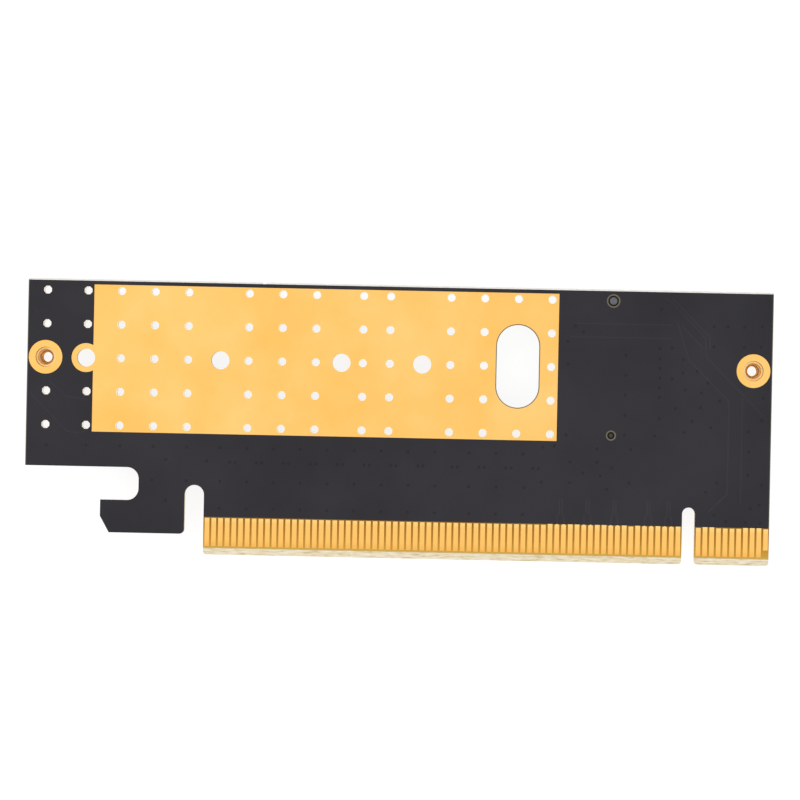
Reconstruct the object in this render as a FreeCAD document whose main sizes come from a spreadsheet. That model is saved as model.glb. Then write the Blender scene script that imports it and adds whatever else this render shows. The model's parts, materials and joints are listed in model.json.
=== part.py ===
import FreeCAD, Part
import math
import os
import Sketcher
from FreeCAD import Vector

# Adapter card for an M.2 solid state drive, with a sixteen-lane card-edge connector.
# The card lies flat with its solder side up (+Z) and its component side down, resting on
# the M.2 socket and the two end nuts. +X runs along the card towards its bracket end and
# +Y runs from the contact edge to the top edge. The origin is under the card's middle.

# Driving sizes in mm. X places are from the card's left edge, Y places from the tip of the
# contact edge, and the pieces on the component side are from the board's component face.
SIZES = {
    # circuit board outline
    "card_length": "= drive_end + bracket_margin",
    "card_height": 40.36,
    "board_thickness": 1.57,
    "lower_edge": 12.75,
    "tongue_left": "= card_length - tongue_length",
    "tongue_length": 84.05,
    "tongue_radius": 0.50,
    "key_centre": "= card_length - key_from_end",
    "key_from_end": 12.00,
    "key_width": 1.90,
    "key_depth": 8.45,
    "bevel_height": 1.06,
    "bevel_depth": 0.38,
    # ridge along the top edge, where the panel was scored and snapped, and a chip in it
    "score_ridge": 0.26,
    "score_depth": 0.50,
    "ridge_chip_place": 34.80,
    "ridge_chip_width": 0.55,
    # retention hook at the left of the tongue
    "hook_slot_width": 2.88,
    "hook_slot_depth": 10.30,
    "hook_left": "= tongue_left - hook_reach",
    "hook_reach": 15.43,
    "hook_gap": 4.90,
    "hook_gap_right": "= tongue_left - hook_gap_inset",
    "hook_gap_inset": 9.76,
    "hook_gap_radius": 1.75,
    "hook_nose": 2.42,
    "hook_nose_run": 1.35,
    "hook_bottom": 3.00,
    "hook_radius": 0.70,
    # solder mask and copper on the faces
    "mask_thickness": 0.03,
    "mask_edge": 5.60,
    "copper_thickness": 0.05,
    # card-edge contacts, counted outwards from the key
    "contact_pitch": 1.00,
    "contact_width": 0.70,
    "contact_first": 1.50,
    "contact_low": 1.26,
    "contact_relief": 0.14,
    "trace_width": 0.20,
    "presence_relief": 1.05,
    "long_count": 71,
    "short_count": 11,
    # heat pad under the drive
    "pad_left": "= pad_right - pad_length",
    "pad_right": "= drive_end - pad_from_end",
    "pad_from_end": 9.82,
    "pad_length": 69.11,
    "pad_bottom": "= pad_top - pad_height",
    "pad_height": 21.87,
    "pad_top": "= card_height - pad_margin",
    "pad_margin": 0.55,
    "pad_ring": 4.30,
    # cooling holes: columns back from the drive's connector end, rows about its centre line;
    # each hole has as many sides as given, and the area of a round one
    "drive_line": "= card_height - drive_line_depth",
    "drive_line_depth": 11.45,
    "hole_diameter": 1.20,
    "hole_sides": 8,
    "hole_corners": "= hole_diameter * sqrt(2 * pi / (hole_sides * sin(360 / hole_sides)))",
    "hole_pitch": 5.00,
    "lone_column": 2.90,
    "first_column": "= drive_end - 79.82",
    "second_column": "= drive_end - 55.82",
    "third_column": "= drive_end - 38.82",
    "fourth_column": "= drive_end - 34.82",
    "fifth_column": "= drive_end - 25.82",
    # cooling window
    "window_place": "= drive_end - 15.79",
    "window_width": 6.30,
    "window_length": 12.30,
    "window_rim": 0.13,
    # drive: its connector end and the four screw places
    "drive_end": "= drive_margin + drive_2280",
    "drive_margin": 8.75,
    "bracket_margin": 22.00,
    "drive_2230": 30.00,
    "drive_2242": 42.00,
    "drive_2260": 60.00,
    "drive_2280": 80.00,
    "screw_hole": 2.70,
    "screw_pad": 5.00,
    # threaded nuts for the heatsink, one at each end
    "nut_from_left": 2.72,
    "nut_from_right": 2.80,
    "nut_hole": 3.00,
    "nut_pad": 5.00,
    "nut_clearance": 0.05,
    "nut_height": 4.20,
    "nut_flange": 4.60,
    "nut_flange_thickness": 0.80,
    "nut_body": 4.00,
    "nut_spigot": 0.80,
    "nut_relief": 2.00,
    "nut_thread": 1.60,
    "nut_thread_length": 2.70,
    "nut_chamfer": 0.20,
    # M.2 socket
    "socket_length": 21.90,
    "socket_depth": 6.60,
    "socket_height": 4.20,
    "socket_chamfer": 0.50,
    "slot_reach": 3.90,
    "slot_clearance": 0.20,
    "slot_level": 2.05,
    "slot_gap": 1.20,
    "slot_width": 20.15,
    "slot_flare": 0.30,
    "rib_place": 6.125,
    "rib_width": 1.00,
    "pin_pitch": 0.50,
    "pin_width": 0.20,
    "pin_thickness": 0.15,
    "pin_clearance": 0.03,
    "pin_foot": 0.90,
    "comb_front": 0.70,
    "comb_wall": 0.35,
    "tab_length": 2.40,
    "tab_foot": 0.40,
    "tab_height": 1.50,
    "tab_thickness": 0.15,
    "peg_from_end": 1.75,
    "peg_span": 20.00,
    "peg_upper": 1.50,
    "peg_lower": 1.00,
    "peg_clearance": 0.10,
    "peg_rim": 0.22,
    "peg_length": 1.30,
    "peg_chamfer": 0.20,
    # surface-mounted parts, in columns behind the socket
    "part_rows": 6.00,
    "capacitor_column": "= drive_end + 7.45",
    "capacitor_length": 3.20,
    "capacitor_width": 1.60,
    "capacitor_height": 1.60,
    "capacitor_end": 0.50,
    "filter_column": "= drive_end + 10.45",
    "filter_height": 0.80,
    "resistor_column": "= drive_end + 12.85",
    "resistor_height": 0.45,
    "chip_length": 1.60,
    "chip_breadth": 0.80,
    "chip_end": 0.30,
    "lamp_column": "= card_length - 5.75",
    "lamp_row": "= card_height - 2.96",
    "lamp_base": 0.30,
    "lamp_lens": 0.40,
}

doc = FreeCAD.newDocument("drive_adapter_card")
sheet = doc.addObject("Spreadsheet::Sheet", "sizes")
for row, alias in enumerate(SIZES, start=1):
    sheet.set(f"A{row}", alias)
    sheet.setAlias(f"B{row}", alias)
for row, size in enumerate(SIZES.values(), start=1):
    sheet.set(f"B{row}", str(size))
doc.recompute()


def value(expression):
    """The number that an expression on the sheet gives now."""
    return float(sheet.evalExpression(str(expression)))


# ---------------------------------------------------------------- bodies and sketches

def new_body(name, x="0", y="0", z="sizes.socket_height"):
    """A body at a place on the card; its own z = 0 is the board's component face by default."""
    body = doc.addObject("PartDesign::Body", name)
    body.Label = name
    body.AllowCompound = True
    body.setExpression("Placement.Base.x", f"{x} - sizes.card_length / 2")
    body.setExpression("Placement.Base.y", f"{y} - (sizes.card_height + sizes.score_ridge) / 2")
    body.setExpression("Placement.Base.z", z)
    return body


def origin_feature(body, role):
    return next(feature for feature in body.Origin.OriginFeatures if feature.Role == role)


def new_sketch(body, name, plane="XY_Plane", offset="0"):
    """A sketch on one of the body's own planes, moved along the plane's normal."""
    sketch = body.newObject("Sketcher::SketchObject", f"{body.Name}_{name}")
    sketch.AttachmentSupport = [(origin_feature(body, plane), "")]
    sketch.MapMode = "FlatFace"
    sketch.setExpression("AttachmentOffset.Base.z", offset)
    return sketch


def constrain(sketch, rules):
    """Add (constraint, expression) pairs together and bind those that carry a size."""
    indexes = sketch.addConstraint([rule for rule, _ in rules])
    for index, (_, expression) in zip(indexes, rules):
        if expression is not None:
            sketch.setExpression(f"Constraints[{index}]", expression)


def point_rules(edge, end, x, y):
    """Hold one point of an edge at x and y from the sketch's origin."""
    return [
        (Sketcher.Constraint("DistanceX", -1, 1, edge, end, value(x)), str(x)),
        (Sketcher.Constraint("DistanceY", -1, 1, edge, end, value(y)), str(y)),
    ]


def polygon(sketch, corners):
    """A closed outline of straight edges through corners given as pairs of expressions."""
    first = sketch.GeometryCount
    points = [Vector(value(x), value(y), 0) for x, y in corners]
    following = points[1:] + points[:1]
    sketch.addGeometry([Part.LineSegment(a, b) for a, b in zip(points, following)])
    rules = []
    for index, (x, y) in enumerate(corners):
        after = (index + 1) % len(corners)
        rules.append((Sketcher.Constraint("Coincident", first + index, 2, first + after, 1), None))
        rules += point_rules(first + index, 1, x, y)
    constrain(sketch, rules)


def rectangle(sketch, left, right, low, high):
    """An upright rectangle held by two opposite corners."""
    x0, x1, y0, y1 = value(left), value(right), value(low), value(high)
    corners = [Vector(x0, y0, 0), Vector(x1, y0, 0), Vector(x1, y1, 0), Vector(x0, y1, 0)]
    following = corners[1:] + corners[:1]
    edges = sketch.addGeometry([Part.LineSegment(a, b) for a, b in zip(corners, following)])
    bottom, right_side, top, left_side = edges
    rules = [(Sketcher.Constraint("Horizontal", edge), None) for edge in (bottom, top)]
    rules += [(Sketcher.Constraint("Vertical", edge), None) for edge in (left_side, right_side)]
    for edge, after in zip(edges, edges[1:] + edges[:1]):
        rules.append((Sketcher.Constraint("Coincident", edge, 2, after, 1), None))
    constrain(sketch, rules + point_rules(bottom, 1, left, low) + point_rules(top, 1, right, high))


def circles(sketch, places, diameter):
    """Equal circles at places given as pairs of expressions."""
    radius = value(diameter) / 2
    middles = [Vector(value(x), value(y), 0) for x, y in places]
    edges = sketch.addGeometry([Part.Circle(middle, Vector(0, 0, 1), radius) for middle in middles])
    rules = [(Sketcher.Constraint("Diameter", edges[0], 2 * radius), str(diameter))]
    rules += [(Sketcher.Constraint("Equal", edges[0], edge), None) for edge in edges[1:]]
    for edge, (x, y) in zip(edges, places):
        rules += point_rules(edge, 3, x, y)
    constrain(sketch, rules)


def many_sided(sketch, x, y, diameter, sides):
    """A regular polygon in a circle of the given diameter, with one side upright."""
    middle, radius = Vector(value(x), value(y), 0), value(diameter) / 2
    turns = [2 * math.pi * (step + 0.5) / sides for step in range(sides)]
    corners = [middle + Vector(radius * math.cos(t), radius * math.sin(t), 0) for t in turns]
    following = corners[1:] + corners[:1]
    edges = sketch.addGeometry([Part.LineSegment(a, b) for a, b in zip(corners, following)])
    ring = sketch.addGeometry(Part.Circle(middle, Vector(0, 0, 1), radius), True)
    rules = [(Sketcher.Constraint("Diameter", ring, 2 * radius), str(diameter)),
             (Sketcher.Constraint("Vertical", edges[-1]), None)]
    for edge, after in zip(edges, edges[1:] + edges[:1]):
        rules.append((Sketcher.Constraint("Coincident", edge, 2, after, 1), None))
        rules.append((Sketcher.Constraint("PointOnObject", edge, 1, ring), None))
    rules += [(Sketcher.Constraint("Equal", edges[0], edge), None) for edge in edges[1:]]
    constrain(sketch, rules + point_rules(ring, 3, x, y))


def upright_slot(sketch, x, low, high, width):
    """A round-ended slot; low and high are the middles of its end arcs."""
    radius = value(width) / 2
    centre_x, low_y, high_y = value(x), value(low), value(high)
    upper_circle = Part.Circle(Vector(centre_x, high_y, 0), Vector(0, 0, 1), radius)
    lower_circle = Part.Circle(Vector(centre_x, low_y, 0), Vector(0, 0, 1), radius)
    top = Part.ArcOfCircle(upper_circle, 0, math.pi)
    bottom = Part.ArcOfCircle(lower_circle, math.pi, 2 * math.pi)
    left = Part.LineSegment(Vector(centre_x - radius, high_y, 0), Vector(centre_x - radius, low_y, 0))
    right = Part.LineSegment(Vector(centre_x + radius, low_y, 0), Vector(centre_x + radius, high_y, 0))
    top, left, bottom, right = sketch.addGeometry([top, left, bottom, right])
    rules = [
        (Sketcher.Constraint("Tangent", top, 2, left, 1), None),
        (Sketcher.Constraint("Tangent", left, 2, bottom, 1), None),
        (Sketcher.Constraint("Tangent", bottom, 2, right, 1), None),
        (Sketcher.Constraint("Tangent", right, 2, top, 1), None),
        (Sketcher.Constraint("Equal", top, bottom), None),
        (Sketcher.Constraint("Diameter", top, value(width)), str(width)),
    ]
    constrain(sketch, rules + point_rules(top, 3, x, high) + point_rules(bottom, 3, x, low))


# ---------------------------------------------------------------- features

def pad(sketch, length, both_ways=False, reverse=False):
    """Raise a sketch by a length along its normal, against it, or half each way."""
    body = sketch.getParentGeoFeatureGroup()
    feature = body.newObject("PartDesign::Pad", f"{sketch.Name}_pad")
    feature.Profile = sketch
    feature.setExpression("Length", length)
    feature.SideType = "Symmetric" if both_ways else "One side"
    feature.Reversed = reverse
    sketch.Visibility = False
    doc.recompute()
    return feature


def cut(sketch, length, both_ways=False):
    """Cut a sketch along its normal, or half each way, and make sure that it took material."""
    body = sketch.getParentGeoFeatureGroup()
    before = body.Tip.Shape.Volume
    feature = body.newObject("PartDesign::Pocket", f"{sketch.Name}_cut")
    feature.Profile = sketch
    feature.setExpression("Length", length)
    feature.SideType = "Symmetric" if both_ways else "One side"
    feature.Reversed = not both_ways
    doc.recompute()
    if not feature.Shape.Volume < before:
        raise RuntimeError(f"{feature.Name} removes nothing")
    return feature


def turn(sketch):
    """Turn a half section, drawn on XZ with x as its radius, once round the sketch's upright axis."""
    body = sketch.getParentGeoFeatureGroup()
    feature = body.newObject("PartDesign::Revolution", f"{sketch.Name}_turn")
    feature.Profile = sketch
    feature.ReferenceAxis = (sketch, ["V_Axis"])
    feature.Angle = 360
    doc.recompute()
    return feature


def repeat(feature, axis, count, pitch, backwards=False):
    """Repeat a feature along one of the body's axes."""
    body = feature.getParentGeoFeatureGroup()
    pattern = body.newObject("PartDesign::LinearPattern", f"{feature.Name}_row")
    pattern.Originals = [feature]
    pattern.Direction = (origin_feature(body, axis), [""])
    pattern.Mode = "Spacing"
    pattern.setExpression("Offset", pitch)
    pattern.setExpression("Occurrences", str(count))
    pattern.Reversed = backwards
    body.Tip = pattern
    doc.recompute()
    return pattern


def round_upright_edges(body, corners, radius):
    """Round the edges that stand along Z at the given corners."""
    base = body.Tip
    places = [(value(x), value(y)) for x, y in corners]
    names = []
    for number, edge in enumerate(base.Shape.Edges, start=1):
        ends = [vertex.Point for vertex in edge.Vertexes]
        for x, y in places:
            if all(abs(end.x - x) < 0.001 and abs(end.y - y) < 0.001 for end in ends):
                names.append(f"Edge{number}")
    if len(names) != len(places):
        raise RuntimeError(f"{body.Name}: {len(names)} of {len(places)} corners found")
    feature = body.newObject("PartDesign::Fillet", f"{body.Name}_rounds_{len(body.Group)}")
    feature.Base = (base, names)
    feature.setExpression("Radius", radius)
    doc.recompute()


# ---------------------------------------------------------------- circuit board

KEY_LEFT = "sizes.key_centre - sizes.key_width / 2"
KEY_RIGHT = "sizes.key_centre + sizes.key_width / 2"
HOOK_TOP = "sizes.lower_edge - sizes.hook_gap"
HOOK_RIGHT = "sizes.tongue_left - sizes.hook_slot_width"
RIDGE_TOP = "sizes.card_height + sizes.score_ridge"
LEFT_NUT_X = "sizes.nut_from_left"
RIGHT_NUT_X = "sizes.card_length - sizes.nut_from_right"
PEG_X = "sizes.drive_end - sizes.peg_from_end"
UPPER_PEG_Y = "sizes.drive_line + sizes.peg_span / 2"
LOWER_PEG_Y = "sizes.drive_line - sizes.peg_span / 2"
SCREW_PLACES = [(f"sizes.drive_end - sizes.drive_{size}", "sizes.drive_line")
                for size in (2230, 2242, 2260, 2280)]
NUT_PLACES = [(x, "sizes.drive_line") for x in (LEFT_NUT_X, RIGHT_NUT_X)]
WINDOW_LOW = "sizes.drive_line - (sizes.window_length - sizes.window_width) / 2"
WINDOW_HIGH = "sizes.drive_line + (sizes.window_length - sizes.window_width) / 2"


# Fields of cooling holes: the columns, then the first row, counted in pitches from the drive's
# centre line, the rows and their spacing in pitches.
# The two end columns leave out the centre row, for the left nut and the 2280 screw place.
END_COLUMNS = ["sizes.lone_column", "sizes.first_column"]
MASK_FIELDS = ((END_COLUMNS, 1, 2, 1), (END_COLUMNS, -2, 2, 1))
FULL_COLUMNS = (
    [f"sizes.first_column + {step} * sizes.hole_pitch" for step in (1, 2, 3)]
    + [f"sizes.second_column + {step} * sizes.hole_pitch" for step in (0, 1, 2)]
    + ["sizes.third_column", "sizes.fourth_column"]
    + [f"sizes.fifth_column + {step} * sizes.hole_pitch" for step in (0, 1, 3)]
)
# The column behind the window keeps only its outer holes.
WINDOW_COLUMN = ["sizes.fifth_column + 2 * sizes.hole_pitch"]
PAD_FIELDS = ((FULL_COLUMNS, -2, 5, 1), (WINDOW_COLUMN, -2, 2, 4))


def cut_cooling_holes(body, fields, thickness):
    """Cut the first row of each field and repeat it up the field; every hole has to be open."""
    sides = int(value("sizes.hole_sides"))
    for number, (columns, first_row, rows, row_step) in enumerate(fields):
        row = new_sketch(body, f"holes_{number}")
        rows_y = [f"sizes.drive_line + ({first_row + row_step * step}) * sizes.hole_pitch"
                  for step in range(rows)]
        for x in columns:
            many_sided(row, x, rows_y[0], "sizes.hole_corners", sides)
        repeat(cut(row, thickness), "Y_Axis", rows, f"{row_step} * sizes.hole_pitch")
        for x, y in [(x, y) for x in columns for y in rows_y]:
            middle = Vector(value(x), value(y), value(thickness) / 2)
            if body.Tip.Shape.isInside(middle, 1e-4, True):
                raise RuntimeError(f"{body.Name}: the cooling hole at {middle} is closed")


def card_blank(body, thickness, top, corner_rounds=True):
    """The card's outline with its hook, hook slot and key."""
    outline = new_sketch(body, "outline")
    polygon(outline, [
        ("0", top),
        ("0", "sizes.lower_edge"),
        ("sizes.hook_left", "sizes.lower_edge"),
        ("sizes.hook_left", f"{HOOK_TOP} - sizes.hook_nose"),
        ("sizes.hook_left + sizes.hook_nose_run", "sizes.hook_bottom"),
        ("sizes.tongue_left", "sizes.hook_bottom"),
        ("sizes.tongue_left", "0"),
        ("sizes.card_length", "0"),
        ("sizes.card_length", top),
    ])
    pad(outline, thickness)
    gap = new_sketch(body, "hook_gap")
    rectangle(gap, "sizes.hook_left - 1", "sizes.hook_gap_right", HOOK_TOP, "sizes.lower_edge")
    cut(gap, thickness)
    slots = new_sketch(body, "slots")
    hook_slot_radius = "sizes.hook_slot_width / 2"
    upright_slot(slots, f"sizes.tongue_left - {hook_slot_radius}", "-sizes.hook_slot_width",
                 f"sizes.hook_slot_depth - {hook_slot_radius}", "sizes.hook_slot_width")
    upright_slot(slots, "sizes.key_centre", "-sizes.key_width",
                 "sizes.key_depth - sizes.key_width / 2", "sizes.key_width")
    cut(slots, thickness)
    round_upright_edges(body, [("sizes.hook_gap_right", HOOK_TOP),
                               ("sizes.hook_gap_right", "sizes.lower_edge")], "sizes.hook_gap_radius")
    round_upright_edges(body, [(HOOK_RIGHT, "sizes.hook_bottom")], "sizes.hook_radius")
    if corner_rounds:
        tongue_corners = ["sizes.tongue_left", KEY_LEFT, KEY_RIGHT, "sizes.card_length"]
        round_upright_edges(body, [(x, "0") for x in tongue_corners], "sizes.tongue_radius")


def make_board():
    """The laminate: outline, holes, cooling window, bevelled contact edge and scored top edge."""
    thickness = "sizes.board_thickness"
    body = new_body("board_laminate")
    card_blank(body, thickness, RIDGE_TOP)
    openings = new_sketch(body, "openings")
    circles(openings, SCREW_PLACES, "sizes.screw_hole")
    circles(openings, NUT_PLACES, "sizes.nut_hole + 2 * sizes.copper_thickness")
    circles(openings, [(PEG_X, UPPER_PEG_Y)], "sizes.peg_upper + sizes.peg_clearance")
    circles(openings, [(PEG_X, LOWER_PEG_Y)], "sizes.peg_lower + sizes.peg_clearance")
    upright_slot(openings, "sizes.window_place", WINDOW_LOW, WINDOW_HIGH, "sizes.window_width")
    cut(openings, thickness)
    edges = new_sketch(body, "edges", "YZ_Plane")
    for face, inwards in (("0", 1), (thickness, -1)):
        polygon(edges, [("0", face), ("sizes.bevel_height", face),
                        ("0", f"{face} + {inwards} * sizes.bevel_depth")])
        polygon(edges, [("sizes.card_height", face), (RIDGE_TOP, face),
                        (RIDGE_TOP, f"{face} + {inwards} * sizes.score_depth")])
    cut(edges, "sizes.card_length")
    chip = new_sketch(body, "ridge_chip")
    chip_right = "sizes.ridge_chip_place + sizes.ridge_chip_width"
    rectangle(chip, "sizes.ridge_chip_place", chip_right, "sizes.card_height", RIDGE_TOP)
    cut(chip, thickness)
    cut_cooling_holes(body, MASK_FIELDS + PAD_FIELDS, thickness)
    return body


def make_back_mask():
    """The black solder mask on the solder side, open at the contacts, pads and peg rims."""
    thickness = "sizes.mask_thickness"
    body = new_body("back_solder_mask", z="sizes.socket_height + sizes.board_thickness")
    card_blank(body, thickness, "sizes.card_height", corner_rounds=False)
    contacts = new_sketch(body, "contact_opening")
    rectangle(contacts, "sizes.tongue_left - sizes.hook_slot_width / 2", "sizes.card_length + 1",
              "-1", "sizes.mask_edge")
    cut(contacts, thickness)
    pad_opening = new_sketch(body, "pad_opening")
    rectangle(pad_opening, "sizes.pad_left", "sizes.pad_right", "sizes.pad_bottom", "sizes.pad_top")
    cut(pad_opening, thickness)
    openings = new_sketch(body, "openings")
    circles(openings, SCREW_PLACES[-1:], "sizes.pad_ring")
    circles(openings, NUT_PLACES, "sizes.nut_pad")
    rim = "sizes.peg_clearance + 2 * sizes.peg_rim"
    circles(openings, [(PEG_X, UPPER_PEG_Y)], f"sizes.peg_upper + {rim}")
    circles(openings, [(PEG_X, LOWER_PEG_Y)], f"sizes.peg_lower + {rim}")
    cut(openings, thickness)
    cut_cooling_holes(body, MASK_FIELDS, thickness)
    return body


def make_heat_pad():
    """The bare gilt copper field behind the drive, joined to the ring of its 2280 screw place."""
    thickness = "sizes.copper_thickness"
    body = new_body("back_heat_pad", z="sizes.socket_height + sizes.board_thickness")
    field = new_sketch(body, "field")
    rectangle(field, "sizes.pad_left", "sizes.pad_right", "sizes.pad_bottom", "sizes.pad_top")
    pad(field, thickness)
    ring = new_sketch(body, "ring")
    circles(ring, SCREW_PLACES[-1:], "sizes.pad_ring")
    pad(ring, thickness)
    openings = new_sketch(body, "openings")
    circles(openings, SCREW_PLACES, "sizes.screw_hole")
    upright_slot(openings, "sizes.window_place", WINDOW_LOW, WINDOW_HIGH,
                 "sizes.window_width + 2 * sizes.window_rim")
    cut(openings, thickness)
    cut_cooling_holes(body, PAD_FIELDS, thickness)
    return body


# ---------------------------------------------------------------- card-edge contacts

def contact_centre(number):
    """X of a contact by its number from the bracket end; the key lies between 11 and 12."""
    if number <= value("sizes.short_count"):
        steps = f"(sizes.contact_first + (sizes.short_count - {number}) * sizes.contact_pitch)"
        return f"sizes.key_centre + {steps}"
    steps = f"(sizes.contact_first + ({number} - sizes.short_count - 1) * sizes.contact_pitch)"
    return f"sizes.key_centre - {steps}"


# Contacts whose copper runs on at full width under the mask: grounds and supply.
SOLDER_SIDE_WIDE = (2, 3, 4, 9, 10, 12, 15, 18, 20, 23, 24, 27, 28, 31)
COMPONENT_SIDE_WIDE = (1, 2, 3, 4, 7, 8, 10, 13, 16, 18, 21, 22, 25, 26, 29)
# Contacts that narrow to a trace: the clock, the reset and the four lanes that the drive uses.
SOLDER_SIDE_TRACES = (13, 14, 16, 17, 21, 22, 25, 26, 29, 30)
COMPONENT_SIDE_TRACES = (14, 15, 19, 20, 23, 24, 27, 28)
# Presence contacts are shorter at the tip, so that they mate last.
SOLDER_SIDE_SHORT = (1,)
COMPONENT_SIDE_SHORT = (17, 31, 48, 81)


def make_edge_contacts(name, level, wide, traces, short):
    """One side's contacts: a long and a short row of plain strips, then the ends that differ."""
    thickness = "sizes.copper_thickness"
    body = new_body(name, z=level)
    half = "sizes.contact_width / 2"
    strip_top = "sizes.mask_edge - sizes.contact_relief"
    first_long = contact_centre(value("sizes.short_count") + 1)
    first_short = contact_centre(value("sizes.short_count"))
    rows = (("long_row", first_long, "sizes.long_count", True),
            ("short_row", first_short, "sizes.short_count", False))
    for row_name, centre, count, backwards in rows:
        strip = new_sketch(body, row_name)
        rectangle(strip, f"{centre} - {half}", f"{centre} + {half}", "sizes.contact_low", strip_top)
        repeat(pad(strip, thickness), "X_Axis", count, "sizes.contact_pitch", backwards)
    wide_ends = new_sketch(body, "wide_ends")
    for number in wide:
        centre = contact_centre(number)
        rectangle(wide_ends, f"{centre} - {half}", f"{centre} + {half}", strip_top, "sizes.mask_edge")
    pad(wide_ends, thickness)
    trace_ends = new_sketch(body, "trace_ends")
    for number in traces:
        centre = contact_centre(number)
        polygon(trace_ends, [
            (f"{centre} - {half}", strip_top),
            (f"{centre} + {half}", strip_top),
            (f"{centre} + sizes.trace_width / 2", "sizes.mask_edge"),
            (f"{centre} - sizes.trace_width / 2", "sizes.mask_edge"),
        ])
    pad(trace_ends, thickness)
    relief = new_sketch(body, "presence_relief")
    for number in short:
        centre = contact_centre(number)
        rectangle(relief, f"{centre} - {half}", f"{centre} + {half}", "sizes.contact_low",
                  "sizes.contact_low + sizes.presence_relief")
    cut(relief, thickness)
    return body


# ---------------------------------------------------------------- screw places and nuts

def make_screw_pads():
    """Bare rings round the four drive screw places on the component side."""
    body = new_body("front_screw_pads", z="sizes.socket_height - sizes.copper_thickness")
    rings = new_sketch(body, "rings")
    circles(rings, SCREW_PLACES, "sizes.screw_pad")
    circles(rings, SCREW_PLACES, "sizes.screw_hole")
    pad(rings, "sizes.copper_thickness")
    return body


def make_nut_plating(name, x):
    """The plated hole of a nut: a barrel through the board with a ring on each face."""
    body = new_body(name, x, "sizes.drive_line")
    section = new_sketch(body, "section", "XZ_Plane")
    barrel_inside = "sizes.nut_hole / 2"
    barrel_outside = "sizes.nut_hole / 2 + sizes.copper_thickness"
    ring_outside = "sizes.nut_pad / 2"
    back_face = "sizes.board_thickness"
    polygon(section, [
        (barrel_inside, "-sizes.copper_thickness"),
        (ring_outside, "-sizes.copper_thickness"),
        (ring_outside, "0"),
        (barrel_outside, "0"),
        (barrel_outside, back_face),
        (ring_outside, back_face),
        (ring_outside, f"{back_face} + sizes.copper_thickness"),
        (barrel_inside, f"{back_face} + sizes.copper_thickness"),
    ])
    turn(section)
    return body


def make_nut(name, x):
    """A surface-mount nut: spigot in the plated hole, flange on the ring, body below with its bore."""
    body = new_body(name, x, "sizes.drive_line")
    section = new_sketch(body, "section", "XZ_Plane")
    seat = "-sizes.copper_thickness"
    foot = "-sizes.nut_height"
    spigot = "sizes.nut_hole / 2 - sizes.nut_clearance"
    polygon(section, [
        ("sizes.nut_relief / 2 + sizes.nut_chamfer", "sizes.nut_spigot"),
        (spigot, "sizes.nut_spigot"),
        (spigot, seat),
        ("sizes.nut_flange / 2", seat),
        ("sizes.nut_flange / 2", f"{seat} - sizes.nut_flange_thickness"),
        ("sizes.nut_body / 2", f"{seat} - sizes.nut_flange_thickness"),
        ("sizes.nut_body / 2", f"{foot} + sizes.nut_chamfer"),
        ("sizes.nut_body / 2 - sizes.nut_chamfer", foot),
        ("sizes.nut_thread / 2 + sizes.nut_chamfer", foot),
        ("sizes.nut_thread / 2", f"{foot} + sizes.nut_chamfer"),
        ("sizes.nut_thread / 2", f"{foot} + sizes.nut_thread_length"),
        ("sizes.nut_relief / 2", f"{foot} + sizes.nut_thread_length + sizes.nut_chamfer"),
        ("sizes.nut_relief / 2", "sizes.nut_spigot - sizes.nut_chamfer"),
    ])
    turn(section)
    return body


# ---------------------------------------------------------------- M.2 socket

# The socket's own x = 0 is its mouth and y = 0 the drive's centre line; depths below the
# board are negative. The odd pins touch the drive's outer face and the even pins its inner
# face, and both rows miss the pins of the M key.
SOCKET_X = "sizes.drive_end - sizes.slot_reach"
SLOT_FLOOR = "-sizes.slot_level"
SLOT_ROOF = "-sizes.slot_level - sizes.slot_gap"
SLOT_END = "sizes.slot_reach + sizes.slot_clearance"
SOCKET_FOOT = "-sizes.socket_height"
OUTER_ROWS = ((-18.5, 29), (14.5, 5))
INNER_ROWS = ((-18.0, 29), (15.0, 4))


def pin_row(body, name, section, width, rows, feature):
    """Repeat one section across the socket in runs of (first pin in pitches, count)."""
    for number, (first, count) in enumerate(rows):
        sketch = new_sketch(body, f"{name}_{number}", "XZ_Plane", f"-({first}) * sizes.pin_pitch")
        polygon(sketch, section)
        repeat(feature(sketch, width, both_ways=True), "Y_Axis", count, "sizes.pin_pitch")


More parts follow.
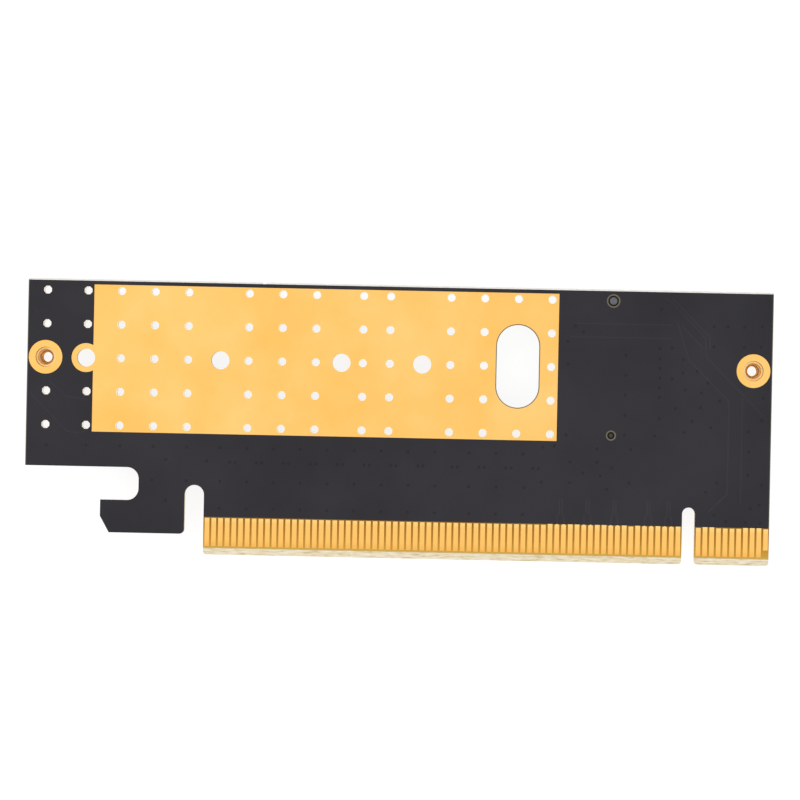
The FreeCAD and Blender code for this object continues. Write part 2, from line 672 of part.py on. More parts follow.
def make_socket_housing():
    """The moulded housing: sloped front, flared slot with its key rib, comb and two pegs."""
    body = new_body("socket_housing", SOCKET_X, "sizes.drive_line")
    side = new_sketch(body, "side", "XZ_Plane")
    polygon(side, [
        ("0", "0"),
        ("sizes.socket_depth", "0"),
        ("sizes.socket_depth", f"{SOCKET_FOOT} + sizes.socket_chamfer"),
        ("sizes.socket_depth - sizes.socket_chamfer", SOCKET_FOOT),
        ("2 * sizes.socket_chamfer", SOCKET_FOOT),
        ("0", f"{SOCKET_FOOT} + sizes.socket_chamfer"),
    ])
    pad(side, "sizes.socket_length", both_ways=True)
    slot = [
        ("0", f"{SLOT_FLOOR} + sizes.slot_flare"),
        ("sizes.slot_flare", SLOT_FLOOR),
        (SLOT_END, SLOT_FLOOR),
        (SLOT_END, SLOT_ROOF),
        ("sizes.slot_flare", SLOT_ROOF),
        ("0", f"{SLOT_ROOF} - sizes.slot_flare"),
    ]
    rib_low = "sizes.rib_place - sizes.rib_width / 2"
    rib_high = "sizes.rib_place + sizes.rib_width / 2"
    slot_half = "sizes.slot_width / 2"
    for name, low, high in (("slot_long", f"-{slot_half}", rib_low), ("slot_short", rib_high, slot_half)):
        sketch = new_sketch(body, name, "XZ_Plane", f"-({low} + {high}) / 2")
        polygon(sketch, slot)
        cut(sketch, f"{high} - ({low})", both_ways=True)
    comb = [
        ("sizes.comb_front", f"{SOCKET_FOOT}"),
        ("sizes.comb_front", SLOT_ROOF),
        (f"{SLOT_END} + sizes.comb_wall", SLOT_ROOF),
        (f"{SLOT_END} + sizes.comb_wall", "0"),
        ("sizes.socket_depth", "0"),
        ("sizes.socket_depth", SOCKET_FOOT),
    ]
    pin_row(body, "comb", comb, "sizes.pin_width + 2 * sizes.pin_clearance", OUTER_ROWS, cut)
    trough = new_sketch(body, "trough", "XZ_Plane")
    rectangle(trough, "0", "sizes.comb_front + sizes.comb_wall", SLOT_FLOOR, "0")
    cut(trough, "sizes.slot_width", both_ways=True)
    pegs = (("upper_peg", "sizes.peg_upper / 2", "sizes.peg_span / 2"),
            ("lower_peg", "sizes.peg_lower / 2", "-sizes.peg_span / 2"))
    for name, radius, y in pegs:
        sketch = new_sketch(body, name, "XZ_Plane", f"-({y})")
        sketch.setExpression("AttachmentOffset.Base.x", "sizes.slot_reach - sizes.peg_from_end")
        polygon(sketch, [("0", "0"), (radius, "0"), (radius, "sizes.peg_length - sizes.peg_chamfer"),
                         (f"{radius} - sizes.peg_chamfer", "sizes.peg_length"), ("0", "sizes.peg_length")])
        turn(sketch)
    return body


def make_outer_pins():
    """Pins on the drive's outer face: a foot behind the socket, a riser, and a beam along the comb."""
    body = new_body("socket_outer_pins", SOCKET_X, "sizes.drive_line")
    thick = "sizes.pin_thickness"
    riser = "sizes.socket_depth - 2 * sizes.pin_thickness"
    beam = f"{SLOT_ROOF} - 2 * sizes.pin_thickness"
    section = [
        ("sizes.socket_depth + sizes.pin_foot", "0"),
        (riser, "0"),
        (riser, beam),
        ("3 * sizes.comb_front", beam),
        ("2 * sizes.comb_front", f"{SLOT_ROOF} + {thick}"),
        ("2 * sizes.comb_front", SLOT_ROOF),
        ("3 * sizes.comb_front", f"{beam} - {thick}"),
        (f"{riser} + {thick}", f"{beam} - {thick}"),
        (f"{riser} + {thick}", f"-{thick}"),
        ("sizes.socket_depth + sizes.pin_foot", f"-{thick}"),
    ]
    pin_row(body, "pin", section, "sizes.pin_width", OUTER_ROWS, pad)
    return body


def make_inner_pins():
    """Pins on the drive's inner face: a foot in front of the socket and a spring rising to the slot."""
    body = new_body("socket_inner_pins", SOCKET_X, "sizes.drive_line")
    thick = "sizes.pin_thickness"
    section = [
        ("-sizes.pin_foot", "0"),
        ("sizes.comb_front", "0"),
        ("sizes.comb_front", f"{SLOT_FLOOR} - {thick}"),
        (f"sizes.comb_front - {thick}", f"{SLOT_FLOOR} - {thick}"),
        (f"sizes.comb_front - {thick}", f"-{thick}"),
        ("-sizes.pin_foot", f"-{thick}"),
    ]
    pin_row(body, "pin", section, "sizes.pin_width", INNER_ROWS, pad)
    return body


def make_hold_down(name, side):
    """A solder tab on one end of the socket: a plate up the end wall and a foot on the board."""
    body = new_body(name, SOCKET_X, f"sizes.drive_line + {side} * sizes.socket_length / 2")
    section = new_sketch(body, "section", "YZ_Plane", "sizes.socket_chamfer")
    polygon(section, [
        ("0", "0"),
        (f"{side} * sizes.tab_foot", "0"),
        (f"{side} * sizes.tab_foot", "-sizes.tab_thickness"),
        (f"{side} * sizes.tab_thickness", "-sizes.tab_thickness"),
        (f"{side} * sizes.tab_thickness", "-sizes.tab_height"),
        ("0", "-sizes.tab_height"),
    ])
    pad(section, "sizes.tab_length")
    return body


# ---------------------------------------------------------------- surface-mounted parts

def make_block(name, x, y, length, breadth, low, high):
    """A block on the component side, its long way along Y, between two heights off the board."""
    body = new_body(name, x, y)
    base = new_sketch(body, "base", "XY_Plane", f"-({high})")
    rectangle(base, f"-{breadth} / 2", f"{breadth} / 2", f"-({length}) / 2", f"({length}) / 2")
    pad(base, f"{high} - ({low})")
    return body


def make_end_caps(name, x, y, length, breadth, height, end):
    """The two solderable ends of a surface-mounted part."""
    body = new_body(name, x, y)
    caps = new_sketch(body, "caps", "XY_Plane", f"-({height})")
    rectangle(caps, f"-{breadth} / 2", f"{breadth} / 2", f"-{length} / 2", f"-{length} / 2 + {end}")
    rectangle(caps, f"-{breadth} / 2", f"{breadth} / 2", f"{length} / 2 - {end}", f"{length} / 2")
    pad(caps, height)
    return body


def make_chip(name, x, y, size, height, end):
    """A ceramic capacitor or resistor: its body and its end caps."""
    length, breadth = size
    core = make_block(f"{name}_body", x, y, f"{length} - 2 * {end}", breadth, "0", height)
    caps = make_end_caps(f"{name}_ends", x, y, length, breadth, height, end)
    return [core, caps]


def make_surface_parts():
    """Three rows of supply capacitor, filter capacitor and resistor, and the status lamp."""
    large = ("sizes.capacitor_length", "sizes.capacitor_width")
    small = ("sizes.chip_length", "sizes.chip_breadth")
    columns = (
        ("supply_capacitor", "sizes.capacitor_column", large,
         "sizes.capacitor_height", "sizes.capacitor_end"),
        ("filter_capacitor", "sizes.filter_column", small, "sizes.filter_height", "sizes.chip_end"),
        ("resistor", "sizes.resistor_column", small, "sizes.resistor_height", "sizes.chip_end"),
    )
    pieces = []
    for kind, x, size, height, end in columns:
        for number, row in enumerate((1, 0, -1), start=1):
            y = f"sizes.drive_line + {row} * sizes.part_rows"
            pieces += make_chip(f"{kind}_{number}", x, y, size, height, end)
    x, y = "sizes.lamp_column", "sizes.lamp_row"
    core = "sizes.chip_length - 2 * sizes.chip_end"
    pieces.append(make_block("status_lamp_base", x, y, core, "sizes.chip_breadth", "0", "sizes.lamp_base"))
    pieces.append(make_block("status_lamp_lens", x, y, core, "sizes.chip_breadth", "sizes.lamp_base",
                             "sizes.lamp_base + sizes.lamp_lens"))
    pieces.append(make_end_caps("status_lamp_ends", x, y, "sizes.chip_length", "sizes.chip_breadth",
                                "sizes.lamp_base", "sizes.chip_end"))
    return pieces


# ---------------------------------------------------------------- the card

pieces = [
    make_board(),
    make_back_mask(),
    make_heat_pad(),
    make_edge_contacts("back_edge_contacts", "sizes.socket_height + sizes.board_thickness",
                       SOLDER_SIDE_WIDE, SOLDER_SIDE_TRACES, SOLDER_SIDE_SHORT),
    make_edge_contacts("front_edge_contacts", "sizes.socket_height - sizes.copper_thickness",
                       COMPONENT_SIDE_WIDE, COMPONENT_SIDE_TRACES, COMPONENT_SIDE_SHORT),
    make_screw_pads(),
    make_nut_plating("left_nut_plating", LEFT_NUT_X),
    make_nut_plating("right_nut_plating", RIGHT_NUT_X),
    make_nut("left_nut", LEFT_NUT_X),
    make_nut("right_nut", RIGHT_NUT_X),
    make_socket_housing(),
    make_outer_pins(),
    make_inner_pins(),
    make_hold_down("socket_upper_tab", 1),
    make_hold_down("socket_lower_tab", -1),
]
pieces += make_surface_parts()
doc.recompute()

for item in doc.Objects:
    if "Invalid" in item.State or "Error" in item.State:
        raise RuntimeError(f"{item.Name} failed: {item.State}")
for piece in pieces:
    if piece.Shape.isNull() or not piece.Shape.isValid():
        raise RuntimeError(f"{piece.Label} has no valid shape")

os.makedirs("parts", exist_ok=True)
for piece in pieces:
    piece.Shape.exportStep(f"parts/{piece.Label}.step")
    print(piece.Label, len(piece.Shape.Solids), round(piece.Shape.Volume, 3))
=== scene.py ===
import json
import math

import bmesh
import bpy
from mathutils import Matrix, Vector


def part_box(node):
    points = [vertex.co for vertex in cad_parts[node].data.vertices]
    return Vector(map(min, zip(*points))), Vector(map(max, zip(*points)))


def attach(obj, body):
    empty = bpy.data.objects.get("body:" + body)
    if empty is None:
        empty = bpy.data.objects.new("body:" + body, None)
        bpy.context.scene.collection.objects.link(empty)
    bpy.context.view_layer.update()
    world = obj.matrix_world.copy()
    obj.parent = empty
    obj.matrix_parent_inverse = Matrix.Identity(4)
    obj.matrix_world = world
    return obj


# Adapter card for an M.2 solid state drive, lying on its component side with the solder side up.

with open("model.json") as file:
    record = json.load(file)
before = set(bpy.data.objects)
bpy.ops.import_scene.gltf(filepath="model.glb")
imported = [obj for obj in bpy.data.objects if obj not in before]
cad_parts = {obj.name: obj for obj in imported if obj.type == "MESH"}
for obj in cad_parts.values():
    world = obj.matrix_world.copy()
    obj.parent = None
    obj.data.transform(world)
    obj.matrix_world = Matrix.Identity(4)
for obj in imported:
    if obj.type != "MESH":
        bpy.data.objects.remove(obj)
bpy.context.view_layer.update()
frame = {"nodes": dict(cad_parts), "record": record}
nodes = frame["nodes"]
MM = 0.001


# ---------------------------------------------------------------- places, from the frame

board_low, board_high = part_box("board_laminate")
component_face = board_low.z
solder_face = board_high.z
mask_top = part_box("back_solder_mask")[1].z
gold_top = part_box("back_heat_pad")[1].z
housing_low, housing_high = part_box("socket_housing")
drive_line = (housing_low.y + housing_high.y) / 2
contact_low, contact_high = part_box("back_edge_contacts")
mask_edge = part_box("back_solder_mask")[0].y

# Sizes and places named in capitals are in millimetres; MM turns them into the frame's metres.
DRIVE_ROW = 28.91           # the drive's centre line, above the contact tip


def card(x, y, z=0.0):
    """A place counted in millimetres from the card's left edge and its contact tip."""
    return Vector((board_low.x + x * MM, board_low.y + y * MM, z))


def middle(node):
    """The middle of a node's box."""
    low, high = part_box(node)
    return (low + high) / 2


# ---------------------------------------------------------------- material helpers

def new_material(name, metallic=0.0, roughness=0.5, specular=0.5):
    """A material with an Object coordinate ready for its patterns."""
    material = bpy.data.materials.new(name)
    material.use_nodes = True
    tree = material.node_tree
    shader = tree.nodes["Principled BSDF"]
    shader.inputs["Metallic"].default_value = metallic
    shader.inputs["Roughness"].default_value = roughness
    shader.inputs["Specular IOR Level"].default_value = specular
    place = tree.nodes.new("ShaderNodeTexCoord").outputs["Object"]
    return material, tree, shader, place


def stretched(tree, place, scale):
    """The Object coordinate in millimetres, scaled along each axis."""
    mapping = tree.nodes.new("ShaderNodeMapping")
    mapping.inputs["Scale"].default_value = [factor / MM for factor in scale]
    tree.links.new(place, mapping.inputs["Vector"])
    return mapping.outputs["Vector"]


def noise(tree, place, size_mm, detail=3.0, rough=0.55, scale=(1, 1, 1)):
    """Soft cloudy noise whose patches are about size_mm across."""
    node = tree.nodes.new("ShaderNodeTexNoise")
    node.inputs["Scale"].default_value = 1.0 / size_mm
    node.inputs["Detail"].default_value = detail
    node.inputs["Roughness"].default_value = rough
    tree.links.new(stretched(tree, place, scale), node.inputs["Vector"])
    return node.outputs["Fac"]


def ramp(tree, factor, stops):
    """Colours or greys at places along a factor."""
    node = tree.nodes.new("ShaderNodeValToRGB")
    band = node.color_ramp
    while len(band.elements) < len(stops):
        band.elements.new(0.5)
    for element, (position, colour) in zip(band.elements, stops):
        element.position = position
        element.color = (*colour, 1.0) if isinstance(colour, tuple) else (colour, colour, colour, 1.0)
    tree.links.new(factor, node.inputs["Fac"])
    return node.outputs["Color"]


def maths(tree, operation, first, second=0.0, clamp=False):
    """One sum of two numbers or sockets, held between 0 and 1 if clamp is set."""
    node = tree.nodes.new("ShaderNodeMath")
    node.operation = operation
    node.use_clamp = clamp
    for socket, given in zip(node.inputs, (first, second)):
        if isinstance(given, (int, float)):
            socket.default_value = given
        else:
            tree.links.new(given, socket)
    return node.outputs["Value"]


def mixed(tree, factor, first, second):
    """Blend two colours by a factor between 0 and 1."""
    node = tree.nodes.new("ShaderNodeMix")
    node.data_type = "RGBA"
    for socket, given in ((node.inputs[0], factor), (node.inputs[6], first), (node.inputs[7], second)):
        if isinstance(given, tuple):
            socket.default_value = (*given, 1.0)
        elif isinstance(given, (int, float)):
            socket.default_value = given
        else:
            tree.links.new(given, socket)
    return node.outputs[2]


def bumped(tree, shader, height, strength, depth_mm):
    """Fine relief from a height pattern."""
    node = tree.nodes.new("ShaderNodeBump")
    node.inputs["Strength"].default_value = strength
    node.inputs["Distance"].default_value = depth_mm * MM
    tree.links.new(height, node.inputs["Height"])
    tree.links.new(node.outputs["Normal"], shader.inputs["Normal"])


def axes(tree, place):
    """X, Y and Z of the Object coordinate, in metres."""
    node = tree.nodes.new("ShaderNodeSeparateXYZ")
    tree.links.new(place, node.inputs["Vector"])
    return node.outputs["X"], node.outputs["Y"], node.outputs["Z"]


def past(tree, axis, limit, blur_mm=0.01):
    """1 where an axis is past a limit, 0 before it, with a narrow blend."""
    rise = maths(tree, "SUBTRACT", axis, limit)
    return maths(tree, "ADD", maths(tree, "DIVIDE", rise, blur_mm * MM), 0.5, clamp=True)


def short_of(tree, axis, limit, blur_mm=0.01):
    """1 where an axis is short of a limit, 0 past it."""
    return maths(tree, "SUBTRACT", 1.0, past(tree, axis, limit, blur_mm))


# ---------------------------------------------------------------- finishes

MASK_DARK = (0.0165, 0.0148, 0.0192)
MASK_LIGHT = (0.0232, 0.0212, 0.0264)
MASK_END = (0.090, 0.084, 0.062)
BARE_FACE = (0.150, 0.127, 0.096)
OCHRE = (0.75, 0.48, 0.10)
MASK_MARGIN = 0.14          # thin resist along the card's two ends
BEVEL_TOP = 0.95            # height of the contact bevel above the tip
RIDGE = 0.26                # bare scored ridge along the top edge
CONTACT_FINISH = 3.2        # the contacts' gold reaches this far above the mask's lowest edge
EDGE_SKIN = 0.015           # how deep a face's colour reaches into a cut edge


def mask_colour(tree, place, lightness=1.0):
    """Black resist, softly clouded, thin and olive along the card's two ends."""
    cloud = noise(tree, place, 14.0, 4.0)
    black = ramp(tree, cloud, [(position, tuple(lightness * part for part in colour))
                               for position, colour in ((0.35, MASK_DARK), (0.65, MASK_LIGHT))])
    x = axes(tree, place)[0]
    ends = maths(tree, "MAXIMUM", short_of(tree, x, board_low.x + MASK_MARGIN * MM, 0.04),
                 past(tree, x, board_high.x - MASK_MARGIN * MM, 0.04))
    return mixed(tree, ends, black, MASK_END)


def solder_mask(name="solder_mask", lightness=1.0):
    """Black resist, satin, with a fine orange-peel surface."""
    material, tree, shader, place = new_material(name, roughness=0.42, specular=0.22)
    tree.links.new(mask_colour(tree, place, lightness), shader.inputs["Base Color"])
    gloss = noise(tree, place, 2.2, 3.0)
    tree.links.new(ramp(tree, gloss, [(0.3, 0.36), (0.7, 0.46)]), shader.inputs["Roughness"])
    bumped(tree, shader, noise(tree, place, 0.35, 4.0), 0.10, 0.02)
    return material


def gold_plating():
    """Immersion gold over etched copper: satin, softly mottled, paler high on the contacts."""
    material, tree, shader, place = new_material("gold_plating", metallic=1.0, roughness=0.42)
    y = axes(tree, place)[1]
    cloud = noise(tree, place, 9.0, 4.0)
    sheet = ramp(tree, cloud, [(0.30, (1.0, 0.545, 0.130)), (0.70, (1.0, 0.620, 0.200))])
    rise = maths(tree, "SUBTRACT", y, contact_low.y)
    height = maths(tree, "DIVIDE", rise, contact_high.y - contact_low.y)
    finger = ramp(tree, height, [(0.0, (0.92, 0.47, 0.107)), (0.25, (1.0, 0.56, 0.150)),
                                 (0.80, (1.0, 0.57, 0.160)), (1.0, (1.0, 0.70, 0.240))])
    tree.links.new(mixed(tree, short_of(tree, y, mask_edge + CONTACT_FINISH * MM), sheet, finger),
                   shader.inputs["Base Color"])
    grain = noise(tree, place, 0.25, 4.0)
    tree.links.new(ramp(tree, grain, [(0.3, 0.36), (0.7, 0.50)]), shader.inputs["Roughness"])
    bumped(tree, shader, grain, 0.15, 0.01)
    return material


def laminate():
    """Glass-epoxy: bare between the contacts, layered in its cut edges, black on the component side."""
    material, tree, shader, place = new_material("laminate", roughness=0.6, specular=0.12)
    x, y, z = axes(tree, place)
    weave = noise(tree, place, 0.30, 3.0, scale=(1, 0.25, 1))
    # between the contacts the bare resin is ochre; the brown that deepens up the strip, away from the tip,
    # is painted shade in the narrow gaps
    rise = maths(tree, "SUBTRACT", y, board_low.y)
    height = maths(tree, "DIVIDE", rise, contact_high.y - board_low.y)
    strip = ramp(tree, height, [(0.17, (0.56, 0.40, 0.107)), (0.24, (0.54, 0.31, 0.044)),
                                (0.60, (0.41, 0.180, 0.016)), (0.95, (0.265, 0.110, 0.011))])
    strip = mixed(tree, maths(tree, "MULTIPLY", weave, 0.15), strip, OCHRE)
    face = mixed(tree, past(tree, y, contact_high.y + 0.1 * MM), strip, BARE_FACE)
    # layers of glass cloth show in the routed edges
    layers = noise(tree, place, 0.16, 2.0, scale=(0.10, 0.10, 1))
    routed = ramp(tree, layers, [(0.35, (0.43, 0.33, 0.175)), (0.65, (0.72, 0.60, 0.38))])
    fibre = noise(tree, place, 0.22, 3.0, scale=(0.14, 1, 1))
    cream = ramp(tree, fibre, [(0.30, (0.54, 0.42, 0.20)), (0.42, (0.72, 0.61, 0.40)),
                               (0.64, (0.84, 0.76, 0.61))])
    snapped = ramp(tree, noise(tree, place, 0.20, 3.0, scale=(0.25, 1, 1)),
                   [(0.30, (0.66, 0.63, 0.59)), (0.70, (0.88, 0.86, 0.83))])
    outer_faces = maths(tree, "MAXIMUM", past(tree, z, solder_face - EDGE_SKIN * MM),
                        short_of(tree, z, component_face + EDGE_SKIN * MM))
    colour = mixed(tree, outer_faces, routed, face)
    colour = mixed(tree, short_of(tree, y, board_low.y + BEVEL_TOP * MM), colour, cream)
    ridge = past(tree, y, board_high.y - (RIDGE - 0.01) * MM)
    colour = mixed(tree, ridge, colour, snapped)
    off_contacts = maths(tree, "MAXIMUM", past(tree, y, contact_high.y + 0.02 * MM),
                         short_of(tree, x, contact_low.x - 0.5 * MM))
    masked = maths(tree, "MULTIPLY", off_contacts, maths(tree, "SUBTRACT", 1.0, ridge))
    covered = maths(tree, "MULTIPLY", short_of(tree, z, component_face + 0.02 * MM), masked)
    tree.links.new(mixed(tree, covered, colour, mask_colour(tree, place)), shader.inputs["Base Color"])
    bumped(tree, shader, weave, 0.25, 0.02)
    return material


def drilled_laminate():
    """The clean cream edge that a drill leaves round a hole."""
    material, tree, shader, place = new_material("drilled_laminate", roughness=0.55, specular=0.3)
    fibre = noise(tree, place, 0.12, 3.0)
    colour = ramp(tree, fibre, [(0.3, (0.88, 0.78, 0.62)), (0.7, (0.97, 0.93, 0.84))])
    tree.links.new(colour, shader.inputs["Base Color"])
    bumped(tree, shader, fibre, 0.25, 0.02)
    return material


def grained(name, metallic, low, high, roughness, grain_mm, relief):
    """A plain finish between two colours, with a fine grain."""
    material, tree, shader, place = new_material(name, metallic=metallic, roughness=roughness)
    grain = noise(tree, place, grain_mm, 4.0)
    tree.links.new(ramp(tree, grain, [(0.3, low), (0.7, high)]), shader.inputs["Base Color"])
    tree.links.new(ramp(tree, grain, [(0.3, roughness - 0.05), (0.7, roughness + 0.08)]),
                   shader.inputs["Roughness"])
    bumped(tree, shader, grain, relief, 0.01)
    return material


def plain_metal(name, low, high, roughness):
    """A bare or plated metal."""
    return grained(name, 1.0, low, high, roughness, 0.3, 0.15)


def plain_body(name, low, high, roughness):
    """A moulded or fired body."""
    return grained(name, 0.0, low, high, roughness, 0.25, 0.2)


FINISHES = {
    "laminate": laminate(),
    "solder_mask": solder_mask(),
    "gold_plating": gold_plating(),
    "nut_metal": plain_metal("nut_metal", (0.90, 0.60, 0.27), (1.0, 0.74, 0.38), 0.34),
    "socket_plastic": plain_body("socket_plastic", (0.020, 0.020, 0.021), (0.034, 0.034, 0.035), 0.5),
    "pin_metal": plain_metal("pin_metal", (0.80, 0.58, 0.26), (0.90, 0.68, 0.34), 0.3),
    "solder": plain_metal("solder", (0.60, 0.60, 0.58), (0.76, 0.76, 0.74), 0.3),
    "capacitor_ceramic": plain_body("capacitor_ceramic", (0.22, 0.13, 0.07), (0.31, 0.19, 0.11), 0.45),
    "resistor_ceramic": plain_body("resistor_ceramic", (0.025, 0.025, 0.03), (0.04, 0.04, 0.045), 0.35),
    "lamp_base": plain_body("lamp_base", (0.66, 0.66, 0.62), (0.76, 0.76, 0.72), 0.5),
    "lamp_lens": plain_body("lamp_lens", (0.60, 0.63, 0.55), (0.70, 0.72, 0.64), 0.2),
}
DRILLED = drilled_laminate()
MASK_ON_COPPER = solder_mask("mask_on_copper", 1.28)
# The vias' mask, darkened to 0.35 of the resist: painted shade for their shallow dimples.
MASK_PAINTED_VIA_SHADE = solder_mask("mask_painted_via_shade", 0.35)
# A lighter, bluish copy of the black socket plastic: painted light on the upper peg's tip down in its hole.
PEG_END_PAINTED_LIGHT = plain_body("peg_end", (0.085, 0.088, 0.104), (0.125, 0.128, 0.148), 0.45)
for part in frame["record"]["subparts"]:
    mesh = nodes[part["node"]].data
    mesh.materials.clear()
    mesh.materials.append(FINISHES[part["material_slot"]])


# ---------------------------------------------------------------- modelling by hand

def fresh():
    """Object mode with nothing selected."""
    if bpy.context.mode != "OBJECT":
        bpy.ops.object.mode_set(mode="OBJECT")
    bpy.ops.object.select_all(action="DESELECT")


def edit(piece):
    """Edit mode on one piece alone, with nothing in it selected."""
    fresh()
    piece.select_set(True)
    bpy.context.view_layer.objects.active = piece
    bpy.ops.object.mode_set(mode="EDIT")
    bpy.ops.mesh.select_mode(type="FACE")
    bpy.ops.mesh.select_all(action="DESELECT")


def pick_faces(piece, chosen):
    """Select the faces that pass a test of their centre and normal."""
    bpy.ops.mesh.select_all(action="DESELECT")
    shape = bmesh.from_edit_mesh(piece.data)
    for face in shape.faces:
        if chosen(face.calc_center_median(), face.normal):
            face.select_set(True)
    bmesh.update_edit_mesh(piece.data)


def faces_up(centre, normal):
    """A test for pick_faces."""
    return normal.z > 0.9


def faces_down(centre, normal):
    """A test for pick_faces."""
    return normal.z < -0.9


def turned(sides, radius, low, high):
    """A closed round blank between two heights about the origin, in edit mode."""
    fresh()
    bpy.ops.mesh.primitive_cylinder_add(vertices=sides, radius=radius, depth=high - low,
                                        location=(0, 0, (low + high) / 2))
    piece = bpy.context.object
    bpy.ops.object.transform_apply(location=True)
    edit(piece)
    return piece


def ring(sides, inner, outer, low, high):
    """A closed ring between two heights about the origin, in edit mode."""
    piece = turned(sides, outer, low, high)
    for chosen in (faces_up, faces_down):
        pick_faces(piece, chosen)
        bpy.ops.mesh.inset(thickness=(outer - inner) * math.cos(math.pi / sides))
    pick_faces(piece, lambda centre, normal: abs(normal.z) > 0.9 and centre.xy.length < inner / 4)
    bpy.ops.mesh.bridge_edge_loops()
    bpy.ops.mesh.select_all(action="SELECT")
    bpy.ops.mesh.normals_make_consistent(inside=False)
    return piece


def repeated(master, places):
    """Copies of one shape at each place, joined into one piece; the shape itself goes."""
    fresh()
    for place in places:
        other = master.copy()
        other.data = master.data.copy()
        other.location = place
        bpy.context.scene.collection.objects.link(other)
        other.select_set(True)
    bpy.data.objects.remove(master)
    bpy.context.view_layer.objects.active = other
    if len(places) > 1:
        bpy.ops.object.join()
    return other


def finished(piece, name, slot, smooth_degrees=40, finish=None):
    """Name a piece, settle it at the origin and give it its finish; it rides with the card."""
    fresh()
    piece.name = piece.data.name = name
    piece.select_set(True)
    bpy.context.view_layer.objects.active = piece
    bpy.ops.object.transform_apply(location=True, rotation=True, scale=True)
    bpy.ops.object.shade_smooth_by_angle(angle=math.radians(smooth_degrees))
    piece.data.materials.clear()
    piece.data.materials.append(finish or FINISHES[slot])
    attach(piece, "root")
    return piece


# ---------------------------------------------------------------- tracks and tented vias

TRACK_WIDTH = 0.20
SOLDER_CROWN = 0.014        # how far a track lifts the mask over it
COMPONENT_CROWN = 0.035
PIN_PITCH = 0.50
CONTACT_TOP = 5.4           # where a track leaves its contact

VIA_RADIUS = 0.24
VIA_ROOT = 0.02             # how far a via starts under the mask's surface
VIA_DIMPLE = 0.010          # how far its middle sinks under that surface
SOLDER_VIA_CROWN = 0.012
COMPONENT_VIA_CROWN = 0.03
PAIR_OFFSET = 0.4           # of a paired via, to each side of the pair's middle

VIA_ROWS = (                # first X, step, count, Y
    (9.0, 5.0, 4, 15.9), (28.9, 4.0, 9, 15.9), (66.0, 4.0, 3, 15.9),
    (18.9, 5.1, 2, 10.9), (29.0, 4.0, 9, 10.9), (66.0, 4.1, 3, 10.9),
    (29.0, 4.0, 9, 6.9), (66.1, 4.0, 3, 6.9),
)
VIA_PAIRS = ((30.8, 4.0, 8, 13.8), (63.9, 4.0, 4, 13.8))
VIA_COLUMNS = ((94.05, 24.7, 1.45, 6), (89.0, 19.0, 2.97, 5))   # X, first Y, step, count
# Single vias and bent tracks: places rounded to 0.1 mm by a program, not worked out here.
LONE_VIAS = (
    (3.1, 15.8), (20.9, 14.0), (27.0, 13.9), (21.0, 7.9), (94.1, 37.8), (109.1, 35.5), (81.4, 35.1),
    (102.0, 35.4), (104.0, 35.4), (106.5, 35.4), (82.6, 34.2), (80.3, 32.8), (95.8, 32.1),
    (102.0, 32.4), (106.5, 32.4), (109.0, 32.5), (97.5, 30.4), (80.4, 29.4), (99.6, 28.7),
    (97.5, 28.4), (95.9, 27.5), (101.2, 27.0), (97.9, 25.9), (100.3, 25.5), (109.5, 24.9),
    (103.1, 24.4), (96.5, 23.1), (100.2, 23.3), (109.3, 21.6), (94.1, 21.6), (99.0, 21.3),
    (97.8, 19.6), (101.8, 20.4), (107.4, 19.9), (80.3, 18.9), (93.5, 19.0), (76.9, 17.0),
    (78.6, 17.2), (85.0, 16.9), (90.0, 16.9), (107.5, 16.9), (81.0, 14.9), (85.0, 14.9),
    (87.2, 14.1), (82.9, 13.3), (85.5, 12.9), (107.4, 13.4), (76.8, 11.8), (81.0, 11.8),
    (89.8, 11.9), (102.8, 12.2), (109.5, 12.0), (86.5, 10.9), (101.2, 10.8), (109.2, 9.0),
    (107.9, 8.5), (102.5, 7.4), (104.3, 6.5), (107.2, 6.4), (109.4, 6.4),
)
SOLDER_TRACKS = (
    ((81.7, 35.5), (95.9, 35.5)), ((80.7, 33.5), (95.7, 33.5)),
    ((94.6, 39.6), (95.4, 39.1), (100.8, 33.6), (100.8, 31.0), (110.2, 21.6)),
    ((95.6, 39.6), (101.4, 33.8), (101.4, 32.0)), ((97.2, 35.4), (100.2, 32.4), (100.2, 31.4)),
    ((96.5, 36.1), (98.3, 30.4), (104.4, 24.3), (104.4, 10.6), (101.6, 7.8)),
    ((106.4, 24.9), (106.4, 9.2)),
    ((0.4, 23.6), (6.1, 17.9), (7.9, 17.7), (9.3, 18.1)), ((3.2, 25.5), (5.9, 23.1), (8.9, 22.7)),
    ((0.8, 36.3), (1.5, 35.3)),
)


def tracks(name, runs, face, crown):
    """Printed tracks under the mask: one low rounded strip for each run of corners."""
    fresh()
    bpy.ops.curve.primitive_nurbs_path_add(location=(0, 0, 0))
    piece = bpy.context.object
    piece.data.splines.clear()
    for run in runs:
        strip = piece.data.splines.new("POLY")
        strip.points.add(len(run) - 1)
        for point, corner in zip(strip.points, run):
            point.co = (*card(*corner), 1)
    piece.data.bevel_depth = TRACK_WIDTH / 2 * MM
    piece.data.bevel_resolution = 1
    piece.data.use_fill_caps = True
    bpy.ops.object.convert(target="MESH")
    piece = bpy.context.object
    edit(piece)
    bpy.ops.mesh.select_all(action="SELECT")
    bpy.ops.mesh.remove_doubles(threshold=1e-7)
    bpy.ops.transform.resize(value=(1, 1, crown / (TRACK_WIDTH / 2)))
    bpy.ops.transform.translate(value=(0, 0, face))
    bpy.ops.mesh.normals_make_consistent(inside=False)
    return finished(piece, name, "solder_mask", 60, MASK_ON_COPPER)


def via_places():
    """X and Y of every via, the same on both sides of the board."""
    for first, step, count, y in VIA_ROWS:
        yield from ((first + number * step, y) for number in range(count))
    for first, step, count, y in VIA_PAIRS:
        for number in range(count):
            yield from ((first + number * step + side, y) for side in (-PAIR_OFFSET, PAIR_OFFSET))
    for x, first, step, count in VIA_COLUMNS:
        yield from ((x, first + number * step) for number in range(count))
    yield from LONE_VIAS


